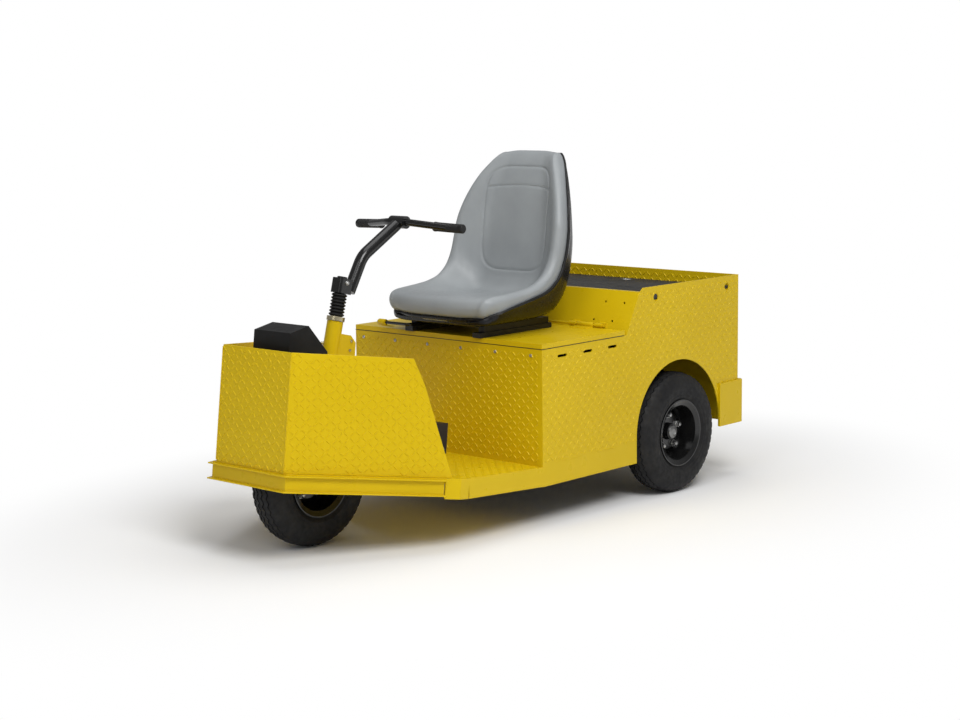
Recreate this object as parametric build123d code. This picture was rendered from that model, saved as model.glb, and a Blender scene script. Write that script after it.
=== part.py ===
from build123d import *
import os
from math import atan, cos, radians, tan

# Three-wheeled electric baggage tug, millimetres. The nose points along -Y, the left side is +X,
# and Y = 0 is the rear axle until everything is centred over its own footprint at the end.

# Wheels
tyre_radius = 206
tyre_width = 118
tread_width = 92
rim_radius = 114  # outside of the bead flange
rim_width = 104
rim_wall = 4
dish_depth = 58  # from the outer flange in to the wheel disc
hub_radius = 38
lug_circle = 57  # radius of the lug nut circle
lug_count = 5
lug_radius = 9
axle_radius = 15
running_gap = 0.4
wheelbase = 1312
track = 768  # between the middles of the rear tyres

# Body
sheet = 4
half_width = 414
body_bottom = 132
body_top = 569
riser_y = -702
floor_z = 195
panel_foot_y = -272
panel_lean = 27  # slanted front of the cargo box, from upright
cargo_top = 716
cargo_front_top = 704
corner_drop = 21  # chamfer at the front of the cargo side
corner_run = 25
body_rear = 368
flange = 26  # inward returns of the folded panels
arch_y = 18
arch_z = 218
arch_radius = 236
tail_bottom = 190
slot_count = 3
slot_length = 46
slot_height = 9
slot_pitch = 128
slot_z = 539
slot_front_y = -603
hand_hole_radius = 13
hand_hole_z = 678
hand_hole_rear_y = 297
hand_hole_front_y = -113
deck_drop = 41  # cargo deck below the cargo top
mat_thickness = 5
panel_hole_radius = 4
panel_hole_pitch = 78

# Foot platform and nose
floor_rise = 3.5
nose_rise = 7.0
kink_y = -1045  # where the foot floor meets the steeper nose floor
skirt_depth = 62
wrap_length = 42  # skirt carried round the corner of the floor
wrap_slot = 4  # open joint between that skirt and the nose channel
lap = 2
channel_depth = 50
channel_leg = 13
nose_length = 512  # from the kink to the face of the front plate
nose_half_width = 150
nose_height = 353
nose_spread = 0.525  # sideways growth of a nose side for each unit of length
plate_inset = 12  # nose plates stand this far inside the floor's edge
rear_edge_foot = 50
rear_edge_bend = 144
rear_edge_bend_height = 274
rear_edge_top = 180
deck_height = 280  # nose deck above the nose floor
wheel_hole_radius = 228
box_half_width = 80  # controller cover on the nose deck
box_front = 456
box_ridge = 384
box_rear = 300
box_front_height = 124
box_ridge_height = 148
box_rear_height = 71
box_round = 4

# Steering
steer_lean = 14.5
head_radius = 25
head_bottom = 250  # places along the steering axis, from the wheel centre
head_rise = 206  # head tube over the nose deck
head_top = deck_height + head_rise
stem_radius = 15
leg_thickness = 10
leg_width = 56
leg_gap = 11  # between the tyre and a fork leg
crown_bottom = 225
crown_thickness = 18
collar_height = 13
boot_gap = 3  # over the lock collar
boot_length = 70
boot_bottom = head_top + collar_height + boot_gap
boot_top = boot_bottom + boot_length
boot_radius = 24
boot_pleats = 7
clamp_height = 46
arm_radius = 19
arm_rise = 128  # bend of the tiller arm over the boot
bar_radius = 11
grip_radius = 15
grip_length = 112
bar_reach = 206  # behind the steering axis
bar_height = 834
bar_half_length = 223
bar_sweep = 61
bar_middle = 50  # half of the straight middle of the bar

# Seat deck, hinge and seat
lid_top = 585
lid_rear_gap = 10
lid_rest_gap = 0.3
pin_radius = 4
knuckle_radius = 8
knuckle_length = 70
knuckle_x = 250
strap_width = 28
finger_hole_x = -300
finger_hole_y = -660
rail_x = 150
rail_width = 34
rail_height = 32
rail_front_y = -714
rail_rear_y = -360
seat_half_width = 240
seat_front_y = -765
seat_base_z = 622
shell_thickness = 9
cushion_top_z = 716
seat_top_z = 1163
seat_back_top_y = -262
backrest_depth = 66
soft_gap = 0.4

# Running gear and batteries
rail_offset = 262  # frame rails from the middle
frame_width = 40
frame_height = 50
frame_low = 138
frame_high = 440
kick_front = -332  # where the rails start to rise over the axle
kick_rear = -190
battery_half_width = 220
battery_length = 330
battery_height = 280
axle_tube_radius = 32
drum_radius = 88
drum_width = 42
housing_radius = 92
motor_radius = 84
motor_length = 210
spring_radius = 34
spring_wire = 6
spring_turns = 5
spring_x = 258
spring_y = 86
spring_pad = 14  # half width of the pad on the axle
arm_height = 36
arm_thickness = 14
bumper_thickness = 28
bumper_wrap = 8
bumper_top = 343
bumper_front_y = 250
hitch_length = 84
hitch_gap = 44
hitch_plate = 12
hitch_half_width = 45
hitch_pin_radius = 10
pedal_width = 70
pedal_x = 290
pedal_low = 58
pedal_height = 100

pieces = {}


def block(x, y, z):
    """A box between pairs of limits."""
    size = [high - low for low, high in (x, y, z)]
    middle = [(high + low) / 2 for low, high in (x, y, z)]
    return Pos(*middle) * Box(*size)


def across(points, x0, x1):
    """A (Y, Z) outline carried from x0 to x1."""
    return extrude(Plane.YZ.offset(x0) * make_face(Polyline(*points, close=True)), x1 - x0)


def plan(points, z0, z1):
    """An (X, Y) outline carried from z0 to z1."""
    return extrude(Plane.XY.offset(z0) * make_face(Polyline(*points, close=True)), z1 - z0)


def both_sides(piece):
    return Compound(children=[piece, mirror(piece, about=Plane.YZ)])


def rod(start, end, radius):
    """A round bar between two points."""
    line = Line(start, end)
    return sweep(Plane(start, z_dir=line % 0) * Circle(radius), path=line)


def around_x(profile):
    """An (X, radius) outline turned round the wheel's axis, which is X."""
    return revolve(Plane.XY * make_face(profile), Axis.X)


# Wheels


def tyre():
    half, tread = tyre_width / 2, tread_width / 2
    bead = rim_width / 2 - 6
    shoulder = tyre_radius - 12
    crown = ThreePointArc((-tread, shoulder + 4), (0, tyre_radius), (tread, shoulder + 4))
    right_wall = Spline((tread, shoulder + 4), (half - 4, shoulder - 16), (half, 160), (half - 6, 132),
            (bead, rim_radius))
    floor_line = Line((bead, rim_radius), (-bead, rim_radius))
    left_wall = mirror(right_wall, about=Plane.YZ)
    return around_x(Curve() + [crown, right_wall, floor_line, left_wall])


def rim(capped):
    """Dished steel wheel with hub boss and lug nuts, and a hub cap if driven. Its outer face is +X."""
    half = rim_width / 2
    well = rim_radius - 20
    drop = 16
    face = half - dish_depth
    barrel = around_x(Polyline(
        (-half, rim_radius), (-half, rim_radius - rim_wall), (-half + 8, well), (half - 8, well),
        (half, rim_radius - rim_wall), (half, rim_radius), (half - 6, rim_radius - 0.3),
        (half - drop, well + rim_wall + 8),
        (-half + drop, well + rim_wall + 8), (-half + 6, rim_radius - 0.3), close=True))
    disc = around_x(Polyline(
        (face, axle_radius + running_gap), (face, hub_radius + 24), (face - 14, well - 8),
        (face - 14, well + 2),
        (face - 14 - rim_wall, well + 2), (face - 14 - rim_wall, well - 10),
        (face - rim_wall - 2, hub_radius + 20),
        (face - rim_wall - 2, hub_radius), (-half + 12, hub_radius),
        (-half + 12, axle_radius + running_gap), close=True))
    cap = around_x(Polyline((face - 1, 0), (face - 1, hub_radius - 8), (face + 20, hub_radius - 12),
            (face + 24, 0), close=True))
    nuts = [
        Rot(X=360 * i / lug_count) * Pos(face - 1, 0, lug_circle) * Rot(Y=90)
        * extrude(RegularPolygon(lug_radius, 6), 16)
        for i in range(lug_count)
    ]
    bore = Pos(face - 6, 0, 0) * Rot(Y=90) * Cylinder(axle_radius + running_gap, 12)
    wheel = barrel + disc + nuts
    return wheel + cap - bore if capped else wheel


# Folded body panels


def side_panel():
    foot_z = body_top
    lean = tan(radians(panel_lean))
    drop_y = panel_foot_y + (cargo_top - corner_drop - foot_z) * lean
    outline = across([
        (riser_y, body_bottom), (arch_y, body_bottom), (arch_y, tail_bottom), (body_rear, tail_bottom),
        (body_rear, cargo_top), (drop_y + corner_run, cargo_top), (drop_y, cargo_top - corner_drop),
        (panel_foot_y, foot_z), (riser_y, foot_z)], half_width - sheet, half_width)
    arch = Rot(Y=90) * Cylinder(arch_radius, 4 * sheet) + Pos(0, 0, -arch_radius) * Box(4 * sheet,
            2 * arch_radius, 2 * arch_radius)
    outline -= Pos(half_width, arch_y, arch_z) * arch
    for i in range(slot_count):
        slot = extrude(SlotOverall(slot_length, slot_height), 2 * sheet, both=True)
        outline -= Pos(half_width, slot_front_y + i * slot_pitch, slot_z) * Rot(Y=90) * Rot(Z=90) * slot
    for y in (hand_hole_front_y, hand_hole_rear_y):
        outline -= Pos(half_width, y, hand_hole_z) * Rot(Y=90) * Cylinder(hand_hole_radius, 4 * sheet)
    shelf = block((half_width - flange, half_width - sheet), (riser_y + sheet, panel_foot_y - sheet),
            (body_top - sheet, body_top))
    return outline + shelf


def riser():
    inside = half_width - sheet
    plate = block((-inside, inside), (riser_y, riser_y + sheet), (body_bottom, body_top))
    lip = block((-half_width + flange, half_width - flange), (riser_y + sheet, riser_y + flange),
            (body_top - sheet, body_top))
    return plate + lip


def cargo_front():
    """Slanted front of the cargo box, folded back over the deck's front edge."""
    lean = tan(radians(panel_lean))
    inside = half_width - sheet
    thick = sheet / cos(radians(panel_lean))
    low = body_top - flange
    low_y = panel_foot_y - flange * lean
    high_y = panel_foot_y + (cargo_front_top - body_top) * lean
    panel = across([
        (low_y, low), (high_y, cargo_front_top), (high_y + thick + 12, cargo_front_top),
        (high_y + thick + 12, cargo_front_top - sheet),
        (high_y + thick - sheet * lean, cargo_front_top - sheet), (low_y + thick, low)], -inside, inside)
    for i in range(2):
        for z in (0, 1):
            x = half_width - 48 - panel_hole_pitch * i - 28 * (1 - z)
            panel -= Pos(x, (low_y + high_y) / 2, 607 + 59 * z) * Rot(X=90) * Cylinder(panel_hole_radius, 200)
    return panel


def cargo_rear():
    inside = half_width - sheet
    return block((-inside, inside), (body_rear - sheet, body_rear), (tail_bottom, cargo_top))


def cargo_deck():
    lean = tan(radians(panel_lean))
    thick = sheet / cos(radians(panel_lean))
    top = cargo_top - deck_drop - mat_thickness
    front = panel_foot_y + (top - body_top) * lean + thick
    inside = half_width - sheet
    return block((-inside, inside), (front, body_rear - sheet), (top - sheet, top))


def deck_mat():
    lean = tan(radians(panel_lean))
    thick = sheet / cos(radians(panel_lean))
    top = cargo_top - deck_drop
    front = panel_foot_y + (top - body_top) * lean + thick + 2
    inside = half_width - sheet - 2
    return block((-inside, inside), (front, body_rear - sheet - 2), (top - mat_thickness, top))


def rear_bumper():
    outer = half_width + bumper_wrap
    return plan([
        (-outer, bumper_front_y), (-half_width, bumper_front_y), (-half_width, body_rear),
        (half_width, body_rear),
        (half_width, bumper_front_y), (outer, bumper_front_y), (outer, body_rear + bumper_thickness - 12),
        (outer - 12, body_rear + bumper_thickness), (12 - outer, body_rear + bumper_thickness),
        (-outer, body_rear + bumper_thickness - 12)], tail_bottom, bumper_top)


def tow_hitch():
    """Clevis of two plates on a back plate, bored for a drop pin."""
    face = body_rear + bumper_thickness
    middle = (tail_bottom + bumper_top) / 2
    back = block((-hitch_half_width - 20, hitch_half_width + 20), (face, face + hitch_plate),
            (tail_bottom + 12, bumper_top - 12))
    ear = block((-hitch_half_width, hitch_half_width), (face + hitch_plate, face + hitch_length),
            (-hitch_plate / 2, hitch_plate / 2))
    ear = fillet(ear.edges().filter_by(Axis.Z).group_by(Axis.Y)[-1], hitch_half_width * 0.8)
    eye_y = face + hitch_length - hitch_half_width * 0.8
    ear -= Pos(0, eye_y, 0) * Cylinder(hitch_pin_radius, 2 * hitch_plate)
    rise = (hitch_gap + hitch_plate) / 2
    return back + Pos(0, 0, middle + rise) * ear + Pos(0, 0, middle - rise) * ear


# Foot platform and nose. Nose pieces are made on a level floor and then raised about the kink.

kink_z = floor_z + (riser_y - kink_y) * tan(radians(floor_rise))
raise_nose = Pos(0, kink_y, kink_z) * Rot(X=-nose_rise)


def side_x(length):
    """Half width of the nose plates' outer faces at a distance ahead of the kink."""
    return nose_half_width + (nose_length - length) * nose_spread


spread_angle = atan(nose_spread)
wall = sheet / cos(spread_angle)
edge = plate_inset / cos(spread_angle)
front_edge = nose_length + 2


def edge_x(length):
    """Half width of the nose floor's edge."""
    return side_x(length) + edge


def nose_outline(inset, front, rear=0.0):
    """Plan of the nose between its sides, moved in by an inset."""
    return [
        (edge_x(rear) - inset, -rear), (edge_x(front) - inset, -front),
        (inset - edge_x(front), -front), (inset - edge_x(rear), -rear)]


corner_length = nose_length - (half_width - edge - nose_half_width) / nose_spread


def floor_pan():
    """Folded foot floor with deep side skirts, and the nose floor with its round wheel opening."""
    run = riser_y - kink_y
    rise = run * tan(radians(floor_rise))
    foot = across([
        (riser_y, floor_z), (kink_y, floor_z + rise), (kink_y, floor_z + rise - sheet),
        (riser_y, floor_z - sheet)],
        -half_width, half_width)
    skirt = across([
        (riser_y, floor_z - sheet), (kink_y, floor_z + rise - sheet),
        (kink_y, floor_z + rise - skirt_depth), (riser_y, floor_z - skirt_depth)], half_width - sheet,
        half_width)
    nose_floor = plan(nose_outline(0, front_edge, -lap), -sheet, 0)
    nose_floor = nose_floor & block((-half_width, half_width), (-2 * nose_length, lap), (-sheet, 0))
    wrap_end = corner_length + wrap_length
    wrap = plan([
        (half_width, lap), (half_width, -corner_length), (edge_x(wrap_end), -wrap_end),
        (edge_x(wrap_end) - wall, -wrap_end), (half_width - sheet, -corner_length),
        (half_width - sheet, lap)], -skirt_depth, -sheet)
    nose_floor = raise_nose * (nose_floor + wrap + mirror(wrap, about=Plane.YZ))
    hole = steer_place * Pos(0, 0, 40) * Cylinder(wheel_hole_radius, 260)
    pan = foot + skirt + mirror(skirt, about=Plane.YZ) + (nose_floor - hole)
    return pan + floor_bearers()


def channel():
    """Outward-facing channel round the foot of the nose."""
    start = corner_length + wrap_length + wrap_slot
    depth = (-channel_depth - sheet, -sheet)
    ring = plan(nose_outline(-channel_leg - edge * 0.1, front_edge + channel_leg, start), *depth)
    ring -= plan(nose_outline(sheet, front_edge - sheet, start - 100), *depth)
    groove = plan(nose_outline(-4 * channel_leg, front_edge + 4 * channel_leg, start - 100), -channel_depth,
            -2 * sheet)
    groove -= plan(nose_outline(0, front_edge, start - 100), -channel_depth, -2 * sheet)
    return raise_nose * (ring - groove)


def nose_profile(low, high):
    """Side view of a nose side plate with its cut-back rear edge."""
    return across([
        (-rear_edge_foot, 0), (-rear_edge_bend, rear_edge_bend_height), (-rear_edge_top, nose_height),
        (-nose_length, nose_height), (-nose_length, 0)], low, high)


def nose_side():
    inner_front = nose_length - sheet
    strip = plan([
        (side_x(0), 0), (nose_half_width, -nose_length), (side_x(inner_front) - wall, -inner_front),
        (side_x(0) - wall, 0)], 0, nose_height)
    return raise_nose * (strip & nose_profile(0, 2 * half_width))


def nose_front():
    inner_front = nose_length - sheet
    inner = side_x(inner_front) - wall
    return raise_nose * plan([
        (-nose_half_width, -nose_length), (nose_half_width, -nose_length), (inner, -inner_front),
        (-inner, -inner_front)],
        0, nose_height)


def well_plan(rear):
    """Plan of the space between the nose plates."""
    inner_front = nose_length - sheet
    return [
        (side_x(rear) - wall, -rear), (side_x(inner_front) - wall, -inner_front),
        (wall - side_x(inner_front), -inner_front), (wall - side_x(rear), -rear)]


def toe_board():
    """Slanted wall at the rear of the wheel well."""
    slope = (rear_edge_bend - rear_edge_foot) / rear_edge_bend_height
    top = deck_height - sheet
    thick = sheet * (1 + slope * slope) ** 0.5
    slab = across([
        (-rear_edge_foot, 0), (-rear_edge_foot - slope * top, top),
        (-rear_edge_foot - slope * top - thick, top),
        (-rear_edge_foot - thick, 0)], -half_width, half_width)
    return raise_nose * (slab & plan(well_plan(0), 0, top))


def nose_deck():
    """Shelf over the wheel well that carries the steering head and the control box."""
    slope = (rear_edge_bend - rear_edge_foot) / rear_edge_bend_height
    rear = rear_edge_foot + slope * deck_height + 3 * sheet
    shelf = raise_nose * plan(well_plan(rear), deck_height - sheet, deck_height)
    passage = steer_place * Pos(0, 0, (head_bottom + head_top) / 2) * Cylinder(head_radius + running_gap,
            head_top - head_bottom)
    return shelf - passage


def control_box():
    """Black cover of the electric controller, sloped at the back."""
    box = across([
        (-box_front, deck_height), (-box_front, deck_height + box_front_height),
        (-box_ridge, deck_height + box_ridge_height), (-box_rear, deck_height + box_rear_height),
        (-box_rear, deck_height)], -box_half_width, box_half_width)
    box = fillet(box.edges().filter_by(Axis.X).group_by(Axis.Z)[-1], box_round)
    return raise_nose * box


def toe_face(height):
    """Place of the toe board's rear face at a height over the nose floor."""
    return -rear_edge_foot - (rear_edge_bend - rear_edge_foot) / rear_edge_bend_height * height


def pedals():
    """Two folded treadles with closed cheeks, each fixed to the toe board by its back."""
    half, skin = pedal_width / 2, 3
    low, high = pedal_low, pedal_low + pedal_height
    cheek = across([
        (toe_face(low), low), (toe_face(low) + 58, low + 6), (toe_face(high) + 92, high),
        (toe_face(high), high)], -half, half)
    hollow = across([
        (toe_face(low) + skin, low - 20), (toe_face(low) + 58 - skin, low - 20),
        (toe_face(high) + 88, high - skin),
        (toe_face(high - skin) + skin, high - skin)], skin - half, half - skin)
    return raise_nose * both_sides(Pos(pedal_x, 0, 0) * (cheek - hollow))


# Steering. Pieces stand on an axis that leans back through the wheel centre.

steer_place = Pos(0, -wheelbase, tyre_radius) * Rot(X=-steer_lean)


def steering_head():
    """Head tube with a flange on the nose deck and a pair of rear gusset plates."""
    tube = Pos(0, 0, (head_bottom + head_top) / 2) * Cylinder(head_radius, head_top - head_bottom)
    tube = steer_place * tube
    flange_plate = raise_nose * extrude(
        Plane.XY.offset(deck_height) * Pos(0, -214) * RectangleRounded(100, 120, 16), 6)
    gusset_face = Polyline(
        (-240, deck_height + 6), (-128, deck_height + 6), (-128, deck_height + 96), (-150, deck_height + 118),
        (-205, deck_height + 124), close=True)
    gusset = extrude(Plane.YZ.offset(head_radius - 8) * make_face(gusset_face), 5)
    gusset = raise_nose * gusset
    head = tube + flange_plate + gusset + mirror(gusset, about=Plane.YZ)
    bore = steer_place * Pos(0, 0, (head_bottom + head_top) / 2) * Cylinder(stem_radius + running_gap,
            head_top)
    return head - bore


def fork():
    """Two straight legs, a crown and the stem that turns in the head tube."""
    inner = tyre_width / 2 + leg_gap
    leg_face = make_face(Polyline(
        (-leg_width / 2, 0), (leg_width / 2, 0), (leg_width / 2 + 8, crown_bottom),
        (-leg_width / 2 - 8, crown_bottom), close=True))
    leg_face = leg_face + Circle(leg_width / 2)
    leg = extrude(Plane.YZ.offset(inner) * leg_face, leg_thickness)
    leg -= Pos(inner, 0, 0) * Rot(Y=90) * Cylinder(axle_radius - 3, 4 * leg_thickness)
    crown = Pos(0, 0, crown_bottom + crown_thickness / 2) * Box(2 * (inner + leg_thickness), leg_width + 16,
            crown_thickness)
    stem_top = boot_top + clamp_height + 6
    stem_low = crown_bottom + crown_thickness
    stem = Pos(0, 0, (stem_low + stem_top) / 2) * Cylinder(stem_radius, stem_top - stem_low)
    return steer_place * (leg + mirror(leg, about=Plane.YZ) + crown + stem)


def front_axle():
    """Axle bolt through both fork legs, with spacers that hold the wheel between them."""
    inner = tyre_width / 2 + leg_gap
    reach = inner + leg_thickness
    bolt = Rot(Y=90) * Cylinder(axle_radius - 3 - 0.1, 2 * reach + 12)
    head = Rot(Y=90) * extrude(RegularPolygon(20, 6), 12)
    sleeve = Rot(Y=90) * Cylinder(axle_radius, 2 * inner - 0.2)
    return steer_place * (bolt + sleeve + Pos(reach + 0.1, 0, 0) * head + Pos(-reach - 12.1, 0, 0) * head)


def lock_collar():
    """Bearing nut above the head tube."""
    ring = Pos(0, 0, head_top + 1 + collar_height / 2) * Cylinder(head_radius + 3, collar_height)
    return steer_place * (ring - Pos(0, 0, head_top) * Cylinder(stem_radius + 0.1, 4 * collar_height))


def boot():
    """Pleated rubber boot round the stem."""
    pitch = (boot_top - boot_bottom) / boot_pleats
    inside = stem_radius + 0.2
    points = [(inside, boot_bottom)]
    for i in range(boot_pleats):
        base = boot_bottom + i * pitch
        points += [(boot_radius - 5, base), (boot_radius, base + pitch * 0.35),
                (boot_radius, base + pitch * 0.65), (boot_radius - 5, base + pitch)]
    points.append((inside, boot_top))
    return steer_place * revolve(Plane.XZ * make_face(Polyline(*dict.fromkeys(points), close=True)), Axis.Z)


def tiller_arm():
    """Clamp block on the stem and the bent tube that carries the handlebar."""
    base = boot_top + 1
    top = base + clamp_height
    clamp = Pos(0, 4, (base + top) / 2) * Box(44, 56, clamp_height)
    clamp = fillet(clamp.edges().filter_by(Axis.Z), 10)
    clamp -= Pos(0, 0, base) * Cylinder(stem_radius + 0.1, 4 * clamp_height)
    low = (0, arm_radius + stem_radius + 4, base + 10)
    bend = (0, 70, boot_top + arm_rise)
    end = (0, bar_reach - bar_radius - 1, bar_height - bar_radius - 1)
    path = FilletPolyline(low, bend, end, radius=90)
    tube = sweep(Plane(path @ 0, z_dir=path % 0) * Circle(arm_radius), path=path)
    saddle = Pos(0, bar_reach, bar_height) * Rot(Y=90) * Cylinder(bar_radius + 9, 64)
    hollow = Pos(0, bar_reach, bar_height) * Rot(Y=90) * Cylinder(bar_radius + 0.1, 90)
    stem_way = Cylinder(stem_radius + 0.1, 4 * bar_height)
    return steer_place * (clamp + tube + saddle - hollow - stem_way)


def bar_points():
    end_y = bar_reach + bar_sweep
    return [
        (-bar_half_length, end_y, bar_height - 3), (-bar_middle, bar_reach, bar_height),
        (bar_middle, bar_reach, bar_height), (bar_half_length, end_y, bar_height - 3)]


def handlebar():
    path = FilletPolyline(*bar_points(), radius=60)
    return steer_place * sweep(Plane(path @ 0, z_dir=path % 0) * Circle(bar_radius), path=path)


def grips():
    """Rubber sleeves with a closed outer end."""
    left_end = Vector(*bar_points()[-1])
    inward = (Vector(*bar_points()[-2]) - left_end).normalized()
    outer = left_end - inward * 5
    sleeve = rod(tuple(outer), tuple(outer + inward * grip_length), grip_radius)
    sleeve -= rod(tuple(left_end - inward * 0.2), tuple(left_end + inward * 2 * grip_length),
            bar_radius + 0.15)
    flare = rod(tuple(outer + inward * (grip_length - 8)), tuple(outer + inward * grip_length),
            grip_radius + 4)
    flare -= rod(tuple(left_end), tuple(left_end + inward * 2 * grip_length), bar_radius + 0.15)
    return steer_place * both_sides(sleeve + flare)


# Seat deck and seat


hinge_y = panel_foot_y - lid_rear_gap
hinge_z = lid_top + knuckle_radius


def seat_lid():
    """Folded lid over the battery box with lips on all sides, a finger hole and two hinge knuckles."""
    rest = body_top + lid_rest_gap
    rear = hinge_y
    lid = block((-half_width, half_width), (riser_y, rear), (rest, lid_top))
    lid -= block((sheet - half_width, half_width - sheet), (riser_y + sheet, rear - sheet),
            (rest - 1, lid_top - sheet))
    hole = extrude(SlotOverall(56, 22), 60, both=True)
    lid -= Pos(finger_hole_x, finger_hole_y, lid_top) * hole
    for side in (-1, 1):
        tube = Pos(side * knuckle_x, hinge_y, hinge_z) * Rot(Y=90) * Cylinder(knuckle_radius, knuckle_length)
        leaf = block((side * knuckle_x - knuckle_length / 2, side * knuckle_x + knuckle_length / 2),
                     (hinge_y - 44, hinge_y), (lid_top, lid_top + 3))
        lid += tube + leaf
        lid -= Pos(side * knuckle_x, hinge_y, hinge_z) * Rot(Y=90) * Cylinder(pin_radius + running_gap,
                2 * knuckle_length)
    return lid


def lid_hinge():
    """Hinge pin held by straps that come down the cargo box front."""
    reach = knuckle_x + knuckle_length / 2 + 40
    pin = Pos(0, hinge_y, hinge_z) * Rot(Y=90) * Cylinder(pin_radius, 2 * reach)
    lean = tan(radians(panel_lean))
    face_y = panel_foot_y + (hinge_z - body_top) * lean
    half = knuckle_radius - 1
    strap = across([
        (hinge_y, hinge_z - half), (hinge_y, hinge_z + half), (face_y + half * lean, hinge_z + half),
        (face_y - half * lean, hinge_z - half)], -strap_width / 2, strap_width / 2)
    strap += Pos(0, hinge_y, hinge_z) * Rot(Y=90) * Cylinder(half, strap_width)
    hinge = pin
    for side in (-1, 1):
        for step in (-1, 1):
            hinge += Pos(side * knuckle_x + step * (knuckle_length / 2 + 20), 0, 0) * strap
    return hinge


def seat_rails():
    """Pair of slide rails, each a channel on the lid with a narrower slider."""
    half = rail_width / 2
    low = block((rail_x - half, rail_x + half), (rail_front_y, rail_rear_y),
            (lid_top, lid_top + rail_height / 2))
    high = block((rail_x - half + 5, rail_x + half - 5), (rail_front_y + 25, rail_rear_y - 10),
            (lid_top + rail_height / 2, seat_base_z))
    return both_sides(low + high)


def seat_lever():
    """Slide release bar under the front of the seat."""
    z = lid_top + rail_height / 2 + 8
    x = -(rail_x - rail_width / 2 - 0.3)
    y = rail_front_y - 20
    points = [(x, rail_front_y + 90, z), (x, y, z), (-seat_half_width, y, z)]
    path = FilletPolyline(*points, radius=16)
    bar = sweep(Plane(path @ 0, z_dir=path % 0) * Circle(5), path=path)
    end = path @ 1
    tip = rod((end.X, end.Y, end.Z), (end.X - 28, end.Y, end.Z), 9)
    return bar + tip


def seat_front_view(grow):
    """Seat seen from the front: straight sides, drawn in and rounded at the shoulders."""
    half = seat_half_width + grow
    shoulder = half - 92
    outline = Polyline((-half, seat_base_z - 40), (half, seat_base_z - 40), (half, 960),
            (shoulder, seat_top_z + grow),
                       (-shoulder, seat_top_z + grow), (-half, 960), close=True)
    face = make_face(outline)
    face = fillet(face.vertices().group_by(Axis.Y)[1:], 80)
    return extrude(Plane.XZ.offset(-200) * face, 700)


def seat_back_line(z, forward):
    """Depth of the backrest's rear face at a height, moved forward by a distance."""
    share = (seat_top_z - z) / (seat_top_z - seat_base_z)
    return seat_back_top_y - 38 * share - 120 * max(0, share - 0.62) - forward


def back_curve(forward, steps=5):
    low = seat_base_z + shell_thickness
    heights = [low + (seat_top_z + 30 - low) * i / steps for i in range(steps + 1)]
    return [(seat_back_line(z, forward), z) for z in heights]


def back_slab(forward, depth):
    """Curved slab that follows the backrest, carried across the seat."""
    rear = Spline(*back_curve(forward))
    front = Spline(*reversed(back_curve(forward + depth)))
    face = make_face(Curve() + [rear, Line(rear @ 1, front @ 0), front, Line(front @ 1, rear @ 0)])
    return extrude(Plane.YZ.offset(-2 * seat_half_width) * face, 4 * seat_half_width)


def seat_backrest():
    body = back_slab(shell_thickness + soft_gap, backrest_depth) & seat_front_view(0)
    over_cushion = block((-half_width, half_width), (-1000, 0), (cushion_top_z + soft_gap, 2 * seat_top_z))
    return body & over_cushion


def seat_cushion():
    rear = back_curve(shell_thickness + soft_gap)[0][0]
    half = seat_half_width
    pad = block((-half, half), (seat_front_y, rear),
            (seat_base_z + shell_thickness + soft_gap, cushion_top_z))
    pad = fillet(pad.edges().filter_by(Axis.Z).group_by(Axis.Y)[0], 70)
    return fillet(pad.faces().sort_by(Axis.Z)[-1].edges().sort_by(Axis.Y)[0], 24)


def seat_shell():
    """Black moulded bucket: a floor pan under the cushion that turns up into the back."""
    back = back_slab(0, shell_thickness) & seat_front_view(4)
    rear = back_curve(0)[0][0]
    pan = block((-seat_half_width, seat_half_width), (seat_front_y + 10, rear),
            (seat_base_z, seat_base_z + shell_thickness))
    pan = fillet(pan.edges().filter_by(Axis.Z).group_by(Axis.Y)[0], 60)
    return back + pan


# Frame and running gear


def chassis_frame():
    """Pair of rails that kick up over the rear axle, with cross members."""
    rail = across([
        (riser_y + sheet, frame_low), (kick_front, frame_low), (kick_rear, frame_high),
        (body_rear - sheet, frame_high),
        (body_rear - sheet, frame_high + frame_height), (kick_rear - 22, frame_high + frame_height),
        (kick_front - 22, frame_low + frame_height), (riser_y + sheet, frame_low + frame_height)],
        rail_offset - frame_width / 2, rail_offset + frame_width / 2)
    frame = rail + mirror(rail, about=Plane.YZ)
    inner = rail_offset - frame_width / 2
    for y in (riser_y + 40, kick_front - 60):
        frame += block((-inner, inner), (y - 20, y + 20), (frame_low, frame_low + frame_height))
    for y in (kick_rear + 60, body_rear - 60):
        frame += block((-inner, inner), (y - 20, y + 20), (frame_high, frame_high + frame_height))
    outer = rail_offset + frame_width / 2
    for side in (-1, 1):
        x = sorted((side * outer, side * (half_width - sheet)))
        frame += block(x, (riser_y + 30, riser_y + 70), (frame_low, frame_low + frame_height))
        frame += block(x, (kick_front - 90, kick_front - 50), (frame_low, frame_low + frame_height))
        frame += block(x, (body_rear - 80, body_rear - 40), (frame_high, frame_high + frame_height))
        for y in (kick_rear + 60, body_rear - 60):
            post_top = cargo_top - deck_drop - mat_thickness - sheet
            frame += block((side * rail_offset - 15, side * rail_offset + 15), (y - 15, y + 15),
                    (frame_high, post_top))
    return frame


def floor_bearers():
    """Two bearers from the frame forward under the foot floor to the nose."""
    rise = tan(radians(floor_rise))
    reach = -kink_y - 40
    x = rail_offset
    under = floor_z - sheet
    bearer = across([
        (riser_y, under), (-reach, under + (riser_y + reach) * rise),
        (-reach, under + (riser_y + reach) * rise - 34), (riser_y, frame_low)],
        x - frame_width / 2, x + frame_width / 2)
    return [bearer, mirror(bearer, about=Plane.YZ)]


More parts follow.
